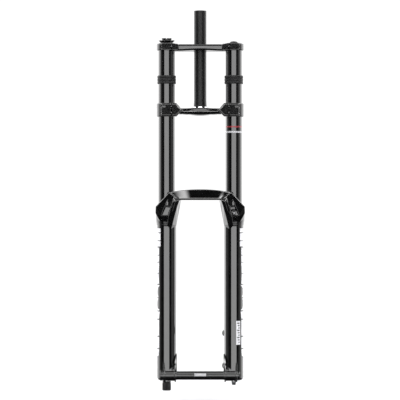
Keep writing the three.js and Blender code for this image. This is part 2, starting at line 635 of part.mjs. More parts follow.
// A disc piston that rides on a shaft's top end, between a skirt and a seal groove.
function piston(outer, groove, height) {
  const z = PISTON_BASE;
  return turned([[SHAFT_R + 0.12, z], [outer, z], [outer, z + height * 0.35], [outer - groove, z + height * 0.35],
    [outer - groove, z + height * 0.65], [outer, z + height * 0.65], [outer, z + height], [SHAFT_R + 0.12, z + height],
    [SHAFT_R + 0.12, z]], COARSE);
}

const topOutBumper = () => ring(9.6, SHAFT_R + 0.15, SEAL_HEAD.top + 0.6, PISTON_BASE - GAP, COARSE);

function addLegInternals() {
  for (const [leg, side] of LEGS) {
    addOnLeg(side, `wiper_seal_${leg}_side`, "black_rubber", wiperSeal());
    const foam = ring(20.25, STANCHION_R + 0.12, SEAL_SEAT - 10, SEAL_SEAT - GAP);
    addOnLeg(side, `foam_ring_${leg}_side`, "foam", foam);
    const bushing = ring(20.25, STANCHION_R + 0.1, 0, 18);
    addOnLeg(side, `upper_bushing_${leg}_side`, "bearing_bronze", bushing, SEAL_SEAT - 30);
    addOnLeg(side, `lower_bushing_${leg}_side`, "bearing_bronze", bushing.clone(), STANCHION_BOTTOM + 8);
    addOnLeg(side, `crush_washer_${leg}_side`, "bare_aluminium", washer());
    addOnLeg(side, `${leg}_shaft`, "polished_steel", shaft(PISTON_BASE + 12));
    addOnLeg(side, `${leg}_top_out_bumper`, "black_rubber", topOutBumper());
  }
  addOnLeg(-1, "damper_piston", "bare_aluminium", piston(DAMPER_TUBE.bore - 0.25, 1.2, 11));
  addOnLeg(1, "air_piston", "black_plastic", piston(STANCHION_BORE_R - 0.25, 1.6, 11));
  addOnLeg(-1, "damper_foot_bolt", "bolt_steel", footBolt(6.6, 6.6, 5));
  addOnLeg(1, "air_foot_bolt", "bolt_steel", footBolt(5.6, 4, 9));
}

// ---- Rebound adjuster, axle and hose guide ----

const KNOB = { top: LEG_BOTTOM - 2.4, bottom: -645.4, r: 10, flutes: 8 };

function reboundKnob() {
  const { top, bottom, r, flutes } = KNOB;
  const body = turned([[0, bottom], [r - 1.6, bottom], [r, bottom + 1.4], [r, top - 1], [r - 0.6, top], [0, top]]);
  const flute = disc(1.2, bottom - 1, top - 4, 6).translate(r, 0, 0);
  const cup = disc(9, bottom + 10, top + 1, COARSE);
  const rodHole = disc(1.9, bottom + 4, top, COARSE);
  return cut(body, [...round(flute, flutes), cup, rodHole]);
}

const reboundRod = () => disc(1.7, KNOB.bottom + 4.3, PISTON_BASE + 4, 12);

// The through axle: a hollow shaft with a socket head on the damper side and a thread on the air side.
function axle() {
  const [head, end] = [-91.5, 90];
  const profile = [
    [0, head + 6], [3.4, head + 6], [3.4, head], [11.4, head], [12, head + 0.6], [12, -80.4 - GAP],
    [AXLE_R, -80.4 - GAP], [AXLE_R, 70], [AXLE_R - 0.5, 71], [AXLE_R - 0.5, end - 1], [AXLE_R - 1.5, end], [7, end],
    [7, -60], [0, -60],
  ];
  return turned(profile).rotateY(Math.PI / 2);
}

// A clip that holds the brake hose against the air-side shoulder, with a screw through its foot.
function hoseGuide() {
  const { x, z } = GUIDE;
  const front = POCKET_FLOOR - GAP;
  const foot = box(x - 3.4, x + 3.2, front - 3.4, front, z - 4.2, z + 9.8);
  const loop = disc(4.7, z + 3.8, z + 9.8, COARSE).translate(x - 1.1, front - 6.2, 0);
  const hose = disc(3.2, z + 2, z + 15, COARSE).translate(x - 1.1, front - 6.2, 0);
  const mouth = box(x - 2.7, x + 0.5, front - 14, front - 6, z + 2, z + 15);
  const screwHole = disc(1.9, 60, 70, COARSE).rotateX(Math.PI / 2).translate(x, 0, z);
  return cut(join([foot, loop]), [hose, mouth, screwHole]);
}

const guideScrew = () =>
  turned([[0, -2], [1.5, -2], [1.5, 3.4 + GAP], [3.2, 3.4 + GAP], [3.2, 4.8], [2.4, 5.5], [0, 5.5]], 16)
    .rotateX(Math.PI / 2).translate(GUIDE.x, POCKET_FLOOR - GAP, GUIDE.z);

// ---- Expansion bladder ----

// A rubber sleeve round the cartridge's upper end, which takes up the oil that the shaft displaces.
function expansionBladder() {
  const neck = DAMPER_TUBE.r + 0.2;
  const [z0, z1] = [DAMPER_TUBE.top - 92, DAMPER_TUBE.top - 2];
  return turned([[neck, z0], [neck + 1.2, z0], [neck + 1.8, z0 + 10], [neck + 1.8, z1 - 10], [neck + 1.2, z1],
    [neck, z1], [neck, z0]]);
}

// ---- Assembly ----

addCrowns();
addStanchions();
addTopPieces();
for (const [leg, side] of LEGS) addOnLeg(side, `frame_bumper_${leg}_side`, "black_rubber", bumper(), BUMPER.bottom);
addOnLeg(-1, "expansion_bladder", "black_rubber", expansionBladder());
add("lower_legs", "gloss_black_paint", lowerLegs());
addLegInternals();
addOnLeg(-1, "rebound_knob", "black_anodised", reboundKnob());
addOnLeg(-1, "rebound_rod", "bare_aluminium", reboundRod());
add("through_axle", "black_anodised", axle(), 0, AXLE_Y, AXLE_Z);
add("hose_guide", "black_plastic", hoseGuide());
add("hose_guide_screw", "bolt_steel", guideScrew());

export default fork;
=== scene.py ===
"""The looks of a dual-crown suspension fork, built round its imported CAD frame.

Metres in Blender. Shapes are written in millimetres in the part's frame: +Z up the steerer, the front
towards -Y, and +X towards the rider's left, which is the air side.
"""

import json
import math

import bmesh
import bpy
from mathutils import Matrix, Vector


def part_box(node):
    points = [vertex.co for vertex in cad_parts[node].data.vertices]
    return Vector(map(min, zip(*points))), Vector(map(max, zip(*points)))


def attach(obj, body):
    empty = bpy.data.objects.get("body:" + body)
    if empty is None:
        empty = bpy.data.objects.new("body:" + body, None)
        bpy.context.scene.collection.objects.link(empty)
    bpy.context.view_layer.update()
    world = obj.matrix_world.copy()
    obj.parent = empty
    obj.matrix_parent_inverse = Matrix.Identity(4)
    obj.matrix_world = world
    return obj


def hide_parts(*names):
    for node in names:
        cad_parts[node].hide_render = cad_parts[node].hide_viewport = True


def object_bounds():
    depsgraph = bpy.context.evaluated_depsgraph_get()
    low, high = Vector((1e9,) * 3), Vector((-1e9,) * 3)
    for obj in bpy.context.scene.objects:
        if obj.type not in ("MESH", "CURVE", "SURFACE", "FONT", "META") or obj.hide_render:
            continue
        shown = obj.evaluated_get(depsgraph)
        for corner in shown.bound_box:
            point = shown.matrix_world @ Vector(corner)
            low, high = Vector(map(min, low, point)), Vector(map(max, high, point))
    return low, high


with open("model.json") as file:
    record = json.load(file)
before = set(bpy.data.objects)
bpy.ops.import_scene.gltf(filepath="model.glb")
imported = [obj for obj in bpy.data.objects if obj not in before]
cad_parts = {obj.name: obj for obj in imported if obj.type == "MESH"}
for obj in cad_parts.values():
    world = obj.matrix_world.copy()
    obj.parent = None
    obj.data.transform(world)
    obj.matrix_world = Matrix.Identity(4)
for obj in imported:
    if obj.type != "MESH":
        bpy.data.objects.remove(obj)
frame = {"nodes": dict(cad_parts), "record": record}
cad_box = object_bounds()

MM = 0.001
CROWNS = "crown_and_stanchions"
LOWERS = "lower_leg_unit"


def low(node):
    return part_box(node)[0] / MM


def high(node):
    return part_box(node)[1] / MM


# Places and sizes that the frame gives, in millimetres.
LEG = (low("stanchion_air_side") + high("stanchion_air_side")) / 2
LEG_X, LEG_Y = LEG.x, LEG.y
STANCHION_R = (high("stanchion_air_side").x - low("stanchion_air_side").x) / 2
STANCHION_BOTTOM = low("stanchion_air_side").z
STANCHION_TOP = high("stanchion_air_side").z
STEERER_R = high("steerer_tube").x
STEERER_TOP = high("steerer_tube").z
STEERER_FOOT = low("steerer_tube").z
AXLE = (low("through_axle") + high("through_axle")) / 2
AXLE_Y, AXLE_Z = AXLE.y, AXLE.z
AXLE_HEAD, AXLE_END = low("through_axle").x, high("through_axle").x
SEAL_LIP = 2.8  # how far a wiper seal stands above its leg
LEG_TOP = high("wiper_seal_air_side").z - SEAL_LIP
WASHER_GAP = 0.3  # from a crush washer up to the leg's foot
LEG_BOTTOM = high("crush_washer_air_side").z + WASHER_GAP
LEG_R = 22.3  # outside of a lower leg's tube
LEG_BORE_R = 20.4
CROWN_BOTTOM = low("lower_crown").z
CROWN_TOP = 8.7  # the top of the lower crown's clamps
CLAMP_R = 23.0  # outside of a crown's clamp
AXLE_R = 10.0
UPPER_FRONT = -57.0  # the flat front of the upper crown
EAR_FRONT = low("lower_crown").y
ARCH_BACK = -68.6
KNOB_TOP, KNOB_BOTTOM = high("rebound_knob").z, low("rebound_knob").z
FINE = 128  # segments round a turned piece
GAP = 0.05  # between a piece and the tube inside it
VOXEL = 0.6  # of the crowns and the arch when they are cast
SMALL_VOXEL = 0.3  # of the dials and the hose clip


# ---------------------------------------------------------------- materials


def surface(name, dark, light, roughness, metallic=0.0, grain=500.0, stretch=(1, 1, 1), bump=0.0,
            specular=0.5):
    """A material whose colour, roughness and relief vary with a fine noise."""
    material = bpy.data.materials.new(name)
    material.use_nodes = True
    nodes, links = material.node_tree.nodes, material.node_tree.links
    shader = nodes["Principled BSDF"]
    shader.inputs["Metallic"].default_value = metallic
    shader.inputs["Specular IOR Level"].default_value = specular
    place = nodes.new("ShaderNodeTexCoord")
    mapping = nodes.new("ShaderNodeMapping")
    mapping.inputs["Scale"].default_value = stretch
    noise = nodes.new("ShaderNodeTexNoise")
    noise.inputs["Scale"].default_value = grain
    noise.inputs["Detail"].default_value = 5.0
    ramp = nodes.new("ShaderNodeValToRGB")
    ramp.color_ramp.elements[0].position = 0.3
    ramp.color_ramp.elements[0].color = (*dark, 1)
    ramp.color_ramp.elements[1].position = 0.7
    ramp.color_ramp.elements[1].color = (*light, 1)
    spread = nodes.new("ShaderNodeMapRange")
    spread.inputs["To Min"].default_value = roughness[0]
    spread.inputs["To Max"].default_value = roughness[1]
    links.new(place.outputs["Object"], mapping.inputs["Vector"])
    links.new(mapping.outputs["Vector"], noise.inputs["Vector"])
    links.new(noise.outputs["Fac"], ramp.inputs["Fac"])
    links.new(noise.outputs["Fac"], spread.inputs["Value"])
    links.new(ramp.outputs["Color"], shader.inputs["Base Color"])
    links.new(spread.outputs["Result"], shader.inputs["Roughness"])
    if bump:
        relief = nodes.new("ShaderNodeBump")
        relief.inputs["Strength"].default_value = bump
        relief.inputs["Distance"].default_value = 0.0002
        links.new(noise.outputs["Fac"], relief.inputs["Height"])
        links.new(relief.outputs["Normal"], shader.inputs["Normal"])
    return material


def grey(value):
    return (value, value, value * 1.03)


PAINT = surface("gloss_paint", grey(0.003), grey(0.006), (0.02, 0.05), grain=60)
ANODISED = surface("gloss_anodised", grey(0.003), grey(0.006), (0.03, 0.06), grain=300, stretch=(1, 1, 0.05))
CROWN_PAINT = surface("polished_black", grey(0.004), grey(0.008), (0.08, 0.14), grain=250)
SATIN = surface("satin_black", grey(0.007), grey(0.012), (0.3, 0.38), grain=900, stretch=(1, 1, 0.1),
                bump=0.1, specular=0.16)
STEEL = surface("black_oxide_steel", grey(0.08), grey(0.14), (0.25, 0.4), metallic=1.0, grain=900, bump=0.1)
BARE = surface("machined_aluminium", grey(0.6), grey(0.75), (0.2, 0.35), metallic=1.0, grain=700,
               stretch=(1, 1, 8))
POLISHED = surface("polished_steel", grey(0.7), grey(0.8), (0.06, 0.12), metallic=1.0, grain=800)
BRONZE = surface("bearing_bronze", (0.3, 0.22, 0.1), (0.45, 0.35, 0.2), (0.4, 0.6), metallic=0.7, grain=900)
RUBBER = surface("black_rubber", grey(0.006), grey(0.012), (0.5, 0.65), grain=1500, bump=0.4, specular=0.18)
PLASTIC = surface("black_plastic", grey(0.014), grey(0.022), (0.3, 0.42), grain=1200, bump=0.2)
FOAM = surface("oiled_foam", grey(0.05), grey(0.12), (0.85, 1.0), grain=2500, bump=0.8)
WHITE = surface("white_print", grey(0.82), grey(0.9), (0.3, 0.4), grain=700)
# Pale print for the stanchion's pale band. The same colour paints the highlight on the front of the axle.
PALE_PRINT_AND_HIGHLIGHT = surface("pale_print_and_painted_highlight", grey(0.45), grey(0.55), (0.3, 0.4), grain=700)
RED = surface("red_print", (0.2, 0.012, 0.018), (0.28, 0.016, 0.025), (0.3, 0.4), grain=700)
FLOOR = surface("pale_floor", grey(0.93), grey(0.95), (0.8, 0.9), grain=4)


# ---------------------------------------------------------------- mesh helpers


def mesh_of(verts, faces):
    """A bmesh, in millimetres, with its faces pointing out."""
    bm = bmesh.new()
    made = [bm.verts.new(v) for v in verts]
    for face in faces:
        bm.faces.new([made[i] for i in face])
    bmesh.ops.remove_doubles(bm, verts=bm.verts, dist=1e-4)
    bmesh.ops.recalc_face_normals(bm, faces=bm.faces)
    return bm


def supported(profile):
    """The profile with a point near each end of every long stretch, so that its shading stays straight."""
    margin = 0.8
    points = [profile[0]]
    for (r0, z0), (r1, z1) in zip(profile, profile[1:]):
        length = math.hypot(r1 - r0, z1 - z0)
        if length > 20 * margin and r0 > 0 and r1 > 0:
            part = margin / length
            points.append((r0 + (r1 - r0) * part, z0 + (z1 - z0) * part))
            points.append((r1 - (r1 - r0) * part, z1 - (z1 - z0) * part))
        points.append((r1, z1))
    return points


def turned(profile, segments=FINE, wave=None):
    """A profile of (radius, z) turned about Z. wave(angle, radius) may add to the radius, for flutes."""
    verts, faces = [], []
    closed = profile[0] == profile[-1]
    points = supported(profile)
    if closed:
        points.pop()
    for i in range(segments):
        angle = 2 * math.pi * i / segments
        for r, z in points:
            grown = r + wave(angle, r, z) if wave else r
            verts.append((grown * math.cos(angle), grown * math.sin(angle), z))
    n = len(points)
    spans = n if closed else n - 1
    for i in range(segments):
        for j in range(spans):
            a, b = i * n + j, i * n + (j + 1) % n
            c, d = ((i + 1) % segments) * n + (j + 1) % n, ((i + 1) % segments) * n + j
            corners = [a, b, c, d]
            if points[j][0] == 0:
                corners = [a, b, c]
            elif points[(j + 1) % n][0] == 0:
                corners = [a, b, d]
            if points[j][0] == 0 and points[(j + 1) % n][0] == 0:
                continue
            faces.append(corners)
    return mesh_of(verts, faces)


def disc(r, z0, z1, segments=FINE):
    return turned([(0, z0), (r, z0), (r, z1), (0, z1)], segments)


def ring(outer, inner, z0, z1, segments=FINE):
    return turned([(inner, z0), (outer, z0), (outer, z1), (inner, z1), (inner, z0)], segments)


def hull(points):
    bm = bmesh.new()
    for p in points:
        bm.verts.new(p)
    result = bmesh.ops.convex_hull(bm, input=bm.verts)
    loose = [e for e in result["geom_interior"] if isinstance(e, bmesh.types.BMVert)]
    bmesh.ops.delete(bm, geom=loose, context="VERTS")
    bmesh.ops.recalc_face_normals(bm, faces=bm.faces)
    return bm


def box(x0, x1, y0, y1, z0, z1):
    return hull([(x, y, z) for x in (x0, x1) for y in (y0, y1) for z in (z0, z1)])


def loft(rings):
    n = len(rings[0])
    verts = [p for r in rings for p in r]
    faces = [[i * n + j, i * n + (j + 1) % n, (i + 1) * n + (j + 1) % n, (i + 1) * n + j]
             for i in range(len(rings) - 1) for j in range(n)]
    last = (len(rings) - 1) * n
    faces += [list(range(n))[::-1], [last + j for j in range(n)]]
    return mesh_of(verts, faces)


def moved(bm, x=0.0, y=0.0, z=0.0):
    bmesh.ops.translate(bm, verts=bm.verts, vec=(x, y, z))
    return bm


def turn(degrees):
    return Matrix.Rotation(math.radians(degrees), 3, "Z")


def along_x(bm):
    """Turns +Z to +X."""
    for v in bm.verts:
        v.co = (v.co.z, v.co.y, -v.co.x)
    return bm


def along_y(bm):
    """Turns +Z to -Y."""
    for v in bm.verts:
        v.co = (v.co.x, -v.co.z, v.co.y)
    return bm


def mirrored(bm):
    copy = bm.copy()
    for v in copy.verts:
        v.co.x = -v.co.x
    bmesh.ops.reverse_faces(copy, faces=copy.faces)
    return copy


def both(meshes):
    return [m for mesh in meshes for m in (mesh, mirrored(mesh))]


def polygon(sides, r, z0, z1, twist=0.0):
    corners = [(r * math.cos(twist + 2 * math.pi * i / sides), r * math.sin(twist + 2 * math.pi * i / sides))
               for i in range(sides)]
    return loft([[(x, y, z) for x, y in corners] for z in (z0, z1)])


def temporary(bm):
    mesh = bpy.data.meshes.new("temporary")
    bm.to_mesh(mesh)
    thing = bpy.data.objects.new("temporary", mesh)
    bpy.context.scene.collection.objects.link(thing)
    return thing


def evaluated(thing):
    """The thing's mesh with its modifiers applied, as a bmesh. The thing itself is removed."""
    bpy.context.view_layer.update()
    graph = bpy.context.evaluated_depsgraph_get()
    mesh = bpy.data.meshes.new_from_object(thing.evaluated_get(graph))
    bm = bmesh.new()
    bm.from_mesh(mesh)
    bpy.data.meshes.remove(mesh)
    bpy.data.objects.remove(thing)
    return bm


def combined(adds, cuts=()):
    """The union of some closed meshes, less some others."""
    base = temporary(adds[0])
    tools = []
    for operation, meshes in (("UNION", adds[1:]), ("DIFFERENCE", cuts)):
        for mesh in meshes:
            tools.append(temporary(mesh))
            boolean = base.modifiers.new("boolean", "BOOLEAN")
            boolean.operation = operation
            boolean.solver = "EXACT"
            boolean.object = tools[-1]
    result = evaluated(base)
    for tool in tools:
        bpy.data.objects.remove(tool)
    return result


def cast(adds, cuts, voxel, relax=4):
    """Cuts each shell, then remeshes them evenly into one solid and relaxes it, which rounds its edges as a
    casting's are."""
    whole = bmesh.new()
    for shell in adds:
        left = combined([shell], [tool.copy() for tool in cuts])
        mesh = bpy.data.meshes.new("shell")
        left.to_mesh(mesh)
        left.free()
        whole.from_mesh(mesh)
        bpy.data.meshes.remove(mesh)
    thing = temporary(whole)
    remesh = thing.modifiers.new("remesh", "REMESH")
    remesh.mode = "VOXEL"
    remesh.voxel_size = voxel
    smooth = thing.modifiers.new("smooth", "SMOOTH")
    smooth.factor = 0.5
    smooth.iterations = relax
    return evaluated(thing)


def piece(name, bm, body, material, replaces=(), sharp=35.0, bevel=0.0):
    """Puts a mesh in the scene as one visible piece that rides on a body."""
    mesh = bpy.data.meshes.new(name)
    bmesh.ops.scale(bm, verts=bm.verts, vec=(MM, MM, MM))
    bm.to_mesh(mesh)
    bm.free()
    mesh.materials.append(material)
    mesh.shade_smooth()
    mesh.set_sharp_from_angle(angle=math.radians(sharp))
    thing = bpy.data.objects.new(name, mesh)
    bpy.context.scene.collection.objects.link(thing)
    if bevel:
        edge = thing.modifiers.new("bevel", "BEVEL")
        edge.width = bevel * MM
        edge.segments = 2
        edge.limit_method = "ANGLE"
        edge.angle_limit = math.radians(30)
        edge.harden_normals = True
    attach(thing, body)
    if replaces:
        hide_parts(*replaces)
    return thing


def on_leg(side, bm):
    return moved(bm, side * LEG_X, LEG_Y)


SIDES = (("damper", -1), ("air", 1))


# ---------------------------------------------------------------- crowns


def stations(half):
    """Mirrors half the rings of a beam, from +X to the middle, to the other side."""
    other = [[(-x, y, z) for x, y, z in ring_] for ring_ in half[-2::-1]]
    return half + other


def clamp_shell(z0, z1):
    c = 1.4
    profile = [(0, z0), (CLAMP_R - c, z0), (CLAMP_R, z0 + c), (CLAMP_R, z1 - c), (CLAMP_R - c, z1), (0, z1)]
    return moved(turned(profile, 96), LEG_X, LEG_Y)


BOLT_Y = LEG_Y - 24.4
BOLT_X = LEG_X + 7.0
SLIT_X = LEG_X - 11.0
LOWER_BOLTS = (0.6, -13.4)
UPPER_BOLT = (low("upper_pinch_bolt_air_side").z + high("upper_pinch_bolt_air_side").z) / 2


def bolt_hole(z, mouth=20.0):
    head = along_x(disc(4.9, -5.3, mouth, 48))
    return moved(head, BOLT_X, BOLT_Y, z)


def slit(z0, z1):
    return box(SLIT_X - 0.8, SLIT_X + 0.8, EAR_FRONT - 2, LEG_Y - 14, z0 - 1, z1 + 1)


EAR_SLOPE = 0.075  # how the front of the ears falls back upwards


def ears_round(outline, back, front):
    """A clamp's ears: an outline whose front falls back upwards."""
    foot = min(z for x, z in outline)
    points = [(x, back, z) for x, z in outline]
    points += [(x, front + (z - foot) * EAR_SLOPE, z) for x, z in outline]
    return hull(points)


def lower_crown():
    top, bottom = CROWN_TOP, CROWN_BOTTOM
    ears = ears_round(
        [(LEG_X + 13, bottom + 2.5), (LEG_X + 10.5, bottom), (LEG_X - 23, bottom),
         (LEG_X - 24.5, bottom + 1.5), (LEG_X - 35, -8.7), (LEG_X - 35, -6.0), (LEG_X - 23.6, top - 1),
         (LEG_X - 22, top), (LEG_X + 10.5, top), (LEG_X + 13, top - 2.5)],
        LEG_Y - 6, EAR_FRONT + 1.6)
    face = ears_round(
        [(LEG_X + 11, bottom + 2), (LEG_X - 21.5, bottom + 2), (LEG_X - 32.6, -8.4), (LEG_X - 32.6, -6.6),
         (LEG_X - 21, top - 2.6), (LEG_X + 11, top - 2.6)],
        EAR_FRONT + 6, EAR_FRONT)
    rows = []
    for x, front, back, z1, z0 in (
        (64, -56, -20, -2.4, -15.6), (52, -55, -18, -2.5, -15.7), (40, -51, -12, -2.4, -15.8),
        (28, -44, 0, -1.9, -16.0), (16, -37, 12, -1.0, -16.4), (8, -33.5, 18, -0.4, -16.7),
        (0, -32.5, 20, 0, -16.9),
    ):
        ridge = z0 + 0.42 * (z1 - z0)
        rows.append([(x, back, z0 + 2), (x, back + 2, ridge), (x, back, z1 - 1), (x, back - 2, z1),
                     (x, front + 9, z1), (x, front + 5, z1 - 1.2), (x, front, ridge), (x, front + 4, z0),
                     (x, back - 2, z0)])
    beam = loft(stations(rows))
    hub = turned([(0, -16.9), (20.5, -16.9), (22.5, -14.9), (22.5, -1), (21.5, 0), (0, 0)], 96)
    cuts = [disc(STEERER_R + GAP, -30, 30, 96),
            *both([slit(bottom, top), *[bolt_hole(z) for z in LOWER_BOLTS],
                   moved(disc(6.5, bottom - 1, -9, 48), 33, -24),
                   moved(disc(6.5, bottom - 1, -9, 48), 47, -36),
                   on_leg(1, disc(STANCHION_R + 0.02, bottom - 1, top + 1))])]
    body = cast([beam, hub, *both([clamp_shell(bottom, top), ears, face])], cuts, VOXEL, 4)
    piece("lower_crown_body", body, CROWNS, CROWN_PAINT, ["lower_crown"])
    seat = ring(15, STEERER_R + GAP, 0.1, 2.0)
    piece("crown_race_seat", seat, CROWNS, POLISHED)
    sleeve = turned([(STEERER_R + GAP, 2.1), (15, 2.1), (15, 4.2), (14.7, 4.7), (STEERER_R + GAP, 4.7),
                     (STEERER_R + GAP, 2.1)])
    piece("steerer_base_sleeve", sleeve, CROWNS, SATIN)


FRAME_HALF = 50.0  # half the width of the upper crown's flat front


def upper_crown():
    top, bottom = 142.6, 128.2
    clamp_top, clamp_bottom = 144.6, 129.2
    ears = ears_round(
        [(LEG_X + 12, clamp_bottom + 1.6), (LEG_X + 10, clamp_bottom), (LEG_X - 26.5, bottom + 0.2),
         (LEG_X - 26.5, top), (LEG_X - 10, clamp_top), (LEG_X + 10, clamp_top),
         (LEG_X + 12, clamp_top - 1.6)],
        LEG_Y - 6, EAR_FRONT)
    rows = []
    front = UPPER_FRONT
    for x, back, rise in ((64, -20, -0.9), (FRAME_HALF, -17, -0.9), (40, -10, -0.5), (30, -3, 0.1),
                          (20, 5, 0.6), (10, 11, 1.0), (0, 14, 1.1)):
        z0 = bottom + rise
        rows.append([(x, back, z0 + 1.5), (x, back, top - 1.5), (x, back - 1.5, top), (x, front + 3, top),
                     (x, front + 0.95, top - 0.3), (x, front, top - 3.8), (x, front, z0 + 3.6),
                     (x, front + 1.5, z0 + 0.4), (x, front + 3, z0), (x, back - 1.5, z0)])
    beam = loft(stations(rows))
    collar = disc(20.5, bottom + 1.1, top, 96)
    collar_ears = box(-13, 13, 8, 28, bottom + 1.1, top)
    rear_bolt = moved(along_x(disc(4.9, -5.3, 20, 48)), 12.4, 22.4, UPPER_BOLT - 1)
    window_corners = ((-30, -46), (30, -46), (20, -24), (-20, -24))
    window = loft([[(x, y, z) for x, y in window_corners] for z in (134, 150)])
    cuts = [disc(STEERER_R + GAP, 110, 160, 96), box(-0.8, 0.8, 8, 30, 110, 160), rear_bolt, window,
            *both([slit(clamp_bottom, clamp_top), bolt_hole(UPPER_BOLT),
                   on_leg(1, disc(STANCHION_R + 0.02, 110, 160))])]
    body = cast([beam, collar, collar_ears, *both([clamp_shell(clamp_bottom, clamp_top), ears])], cuts,
                VOXEL, 3)
    piece("upper_crown_body", body, CROWNS, CROWN_PAINT, ["upper_crown"])


def socket_bolt(name, node, length, x, y, z, side):
    """A socket head bolt along X with its head outboard."""
    head = turned([(0, -length), (2.5, -length), (2.5, -5), (4.3, -5), (4.3, -0.4), (3.9, 0), (0, 0)], 48)
    body = along_x(combined([head], [polygon(6, 2.5, -2.8, 1)]))
    if side < 0:
        body = mirrored(body)
    piece(name, moved(body, x, y, z), CROWNS, STEEL, [node], bevel=0.15)


def bolts():
    for leg, side in SIDES:
        node = f"upper_pinch_bolt_{leg}_side"
        socket_bolt(f"upper_bolt_{leg}_side", node, 30, side * BOLT_X, BOLT_Y, UPPER_BOLT, side)
        for i, z in enumerate(LOWER_BOLTS, 1):
            node = f"lower_pinch_bolt_{leg}_side_{i}"
            socket_bolt(f"lower_bolt_{leg}_side_{i}", node, 30, side * BOLT_X, BOLT_Y, z, side)
    socket_bolt("steerer_bolt", "steerer_pinch_bolt", 22, 12.4, 22.4, UPPER_BOLT - 1, 1)


def steerer():
    tube = turned([(11.9, STEERER_FOOT), (STEERER_R - 0.6, STEERER_FOOT), (STEERER_R, STEERER_FOOT + 0.6),
                   (STEERER_R, 4.6), (14.9, 5.0), (14.9, 7), (STEERER_R, 16), (STEERER_R, STEERER_TOP - 0.8),
                   (STEERER_R - 0.8, STEERER_TOP), (11.9, STEERER_TOP), (11.9, STEERER_FOOT)])
    piece("steerer", tube, CROWNS, SATIN, ["steerer_tube"])


# ---------------------------------------------------------------- stanchions


# Printed bands on the air side's stanchion, from the lower one up: name, look, lower and upper end.
BANDS = (("pale_band", PALE_PRINT_AND_HIGHLIGHT, -58.6, -54.6), ("red_band", RED, -46.4, -43.0))
BAND_DEPTH = 0.12  # they lie in shallow grooves, so that the bushings clear them


def stanchions():
    z0, z1, r = STANCHION_BOTTOM, STANCHION_TOP, STANCHION_R
    for leg, side in SIDES:
        grooves = []
        if side > 0:
            for _, _, low_end, high_end in BANDS:
                grooves += [(r, low_end), (r - BAND_DEPTH, low_end), (r - BAND_DEPTH, high_end),
                            (r, high_end)]
        tube = turned([(16.6, z0), (r - 1.2, z0), (r, z0 + 2.5), *grooves, (r, z1 - 0.6), (r - 0.6, z1),
                       (16.6, z1), (16.6, z0)])
        name = f"stanchion_tube_{leg}_side"
        piece(name, on_leg(side, tube), CROWNS, ANODISED, [f"stanchion_{leg}_side"])
    for name, material, z_low, z_high in BANDS:
        band = ring(r - BAND_DEPTH + 0.03, r - 0.3, z_low, z_high)
        piece(name, on_leg(1, band), CROWNS, material)


def bumpers():
    for leg, side in SIDES:
        node = f"frame_bumper_{leg}_side"
        z0, z1 = low(node).z, high(node).z
        height = z1 - z0
        outer = []
        for i in range(3):
            foot = z0 + i * height / 3
            outer += [(20.5, foot + 0.2), (21.2, foot + 1.0), (21.3, foot + height / 6),
                      (21.2, foot + height / 3 - 1.0), (20.5, foot + height / 3 - 0.2)]
        inner = STANCHION_R + GAP
        band = turned([(inner, z0), (20.3, z0), *outer, (20.3, z1), (inner, z1), (inner, z0)])
        pad_outline = [(-14, 12), (14, 12), (14, 20), (10, 29), (-10, 29), (-14, 20)]
        pads = []
        for i in range(3):
            foot = z0 + 0.6 + i * (height - 1.2) / 3
            top = foot + (height - 1.2) / 3
            shrink = 0.93
            pads.append(loft([[(x * k, y * k, z) for x, y in pad_outline]
                              for z, k in ((foot, shrink), (foot + 1, 1), (top - 1, 1), (top, shrink))]))
        pad = combined([*pads], [disc(inner + 0.5, z0 - 1, z1 + 1, 96)])
        body = f"bumper_{leg}_side"
        piece(f"bumper_band_{leg}_side", on_leg(side, band), body, RUBBER, [node])
        piece(f"bumper_pad_{leg}_side", on_leg(side, pad), body, RUBBER, [node], bevel=0.4)


# ---------------------------------------------------------------- caps and dials


def top_cap(node):
    z0, z1 = low(node).z, high(node).z
    seat = STANCHION_TOP + 0.3
    bore = 5.4 if "damper" in node else 4.4
    body = turned([(bore, z0), (16.4, z0), (16.4, seat), (18.7, seat), (18.7, z1 - 0.8), (18.0, z1),
                   (bore, z1), (bore, z0)])
    side = -1 if "damper" in node else 1
    piece(f"{node}_body", on_leg(side, body), CROWNS, CROWN_PAINT, [node], bevel=0.2)


def dials():
    z = low("high_speed_compression_dial").z
    flare = turned([(6, z), (12.8, z), (13.6, z + 0.8), (17.4, z + 3.2), (18.6, z + 4.8), (18.6, z + 5.6),
                    (17.2, z + 5.6), (14.6, z + 4.2), (13, z + 3.2), (6, z + 3.2), (6, z)], 120)
    notches = []
    for i in range(10):
        notch = moved(along_x(disc(1.9, 12.5, 24, 32)), 0, 0, z + 5.6)
        bmesh.ops.rotate(notch, verts=notch.verts, cent=(0, 0, 0), matrix=turn(i * 36 + 18))
        notches.append(notch)
    dial = cast([flare], notches, SMALL_VOXEL, 2)
    piece("high_speed_dial_ring", on_leg(-1, dial), "high_speed_dial", CROWN_PAINT,
          ["high_speed_compression_dial"])

    z = low("low_speed_compression_dial").z + 8
    knob = turned([(0, z - 8), (5.1, z - 8), (5.1, z + 3.6), (9.4, z + 3.6), (11.0, z + 5), (11.9, z + 9.6),
                   (11.5, z + 11), (8.8, z + 11), (8.0, z + 8.6), (0, z + 8.6)], 96)
    notches = []
    for i in range(8):
        notch = box(8, 14, -1.5, 1.5, z + 6.6, z + 12)
        bmesh.ops.rotate(notch, verts=notch.verts, cent=(0, 0, 0), matrix=turn(i * 45))
        notches.append(notch)
    dial = cast([knob], notches, SMALL_VOXEL, 2)
    piece("low_speed_dial_knob", on_leg(-1, dial), "low_speed_dial", CROWN_PAINT,
          ["low_speed_compression_dial"])
    screw = turned([(0, z - 1.6), (1.1, z - 1.6), (1.1, z + 8.8), (3, z + 8.8), (3, z + 9.6), (2.2, z + 10.3),
                    (0, z + 10.3)], 48)
    screw = combined([screw], [polygon(6, 1.3, z + 9.2, z + 11)])
    piece("low_speed_dial_screw", on_leg(-1, screw), "low_speed_dial", STEEL, ["dial_screw"])


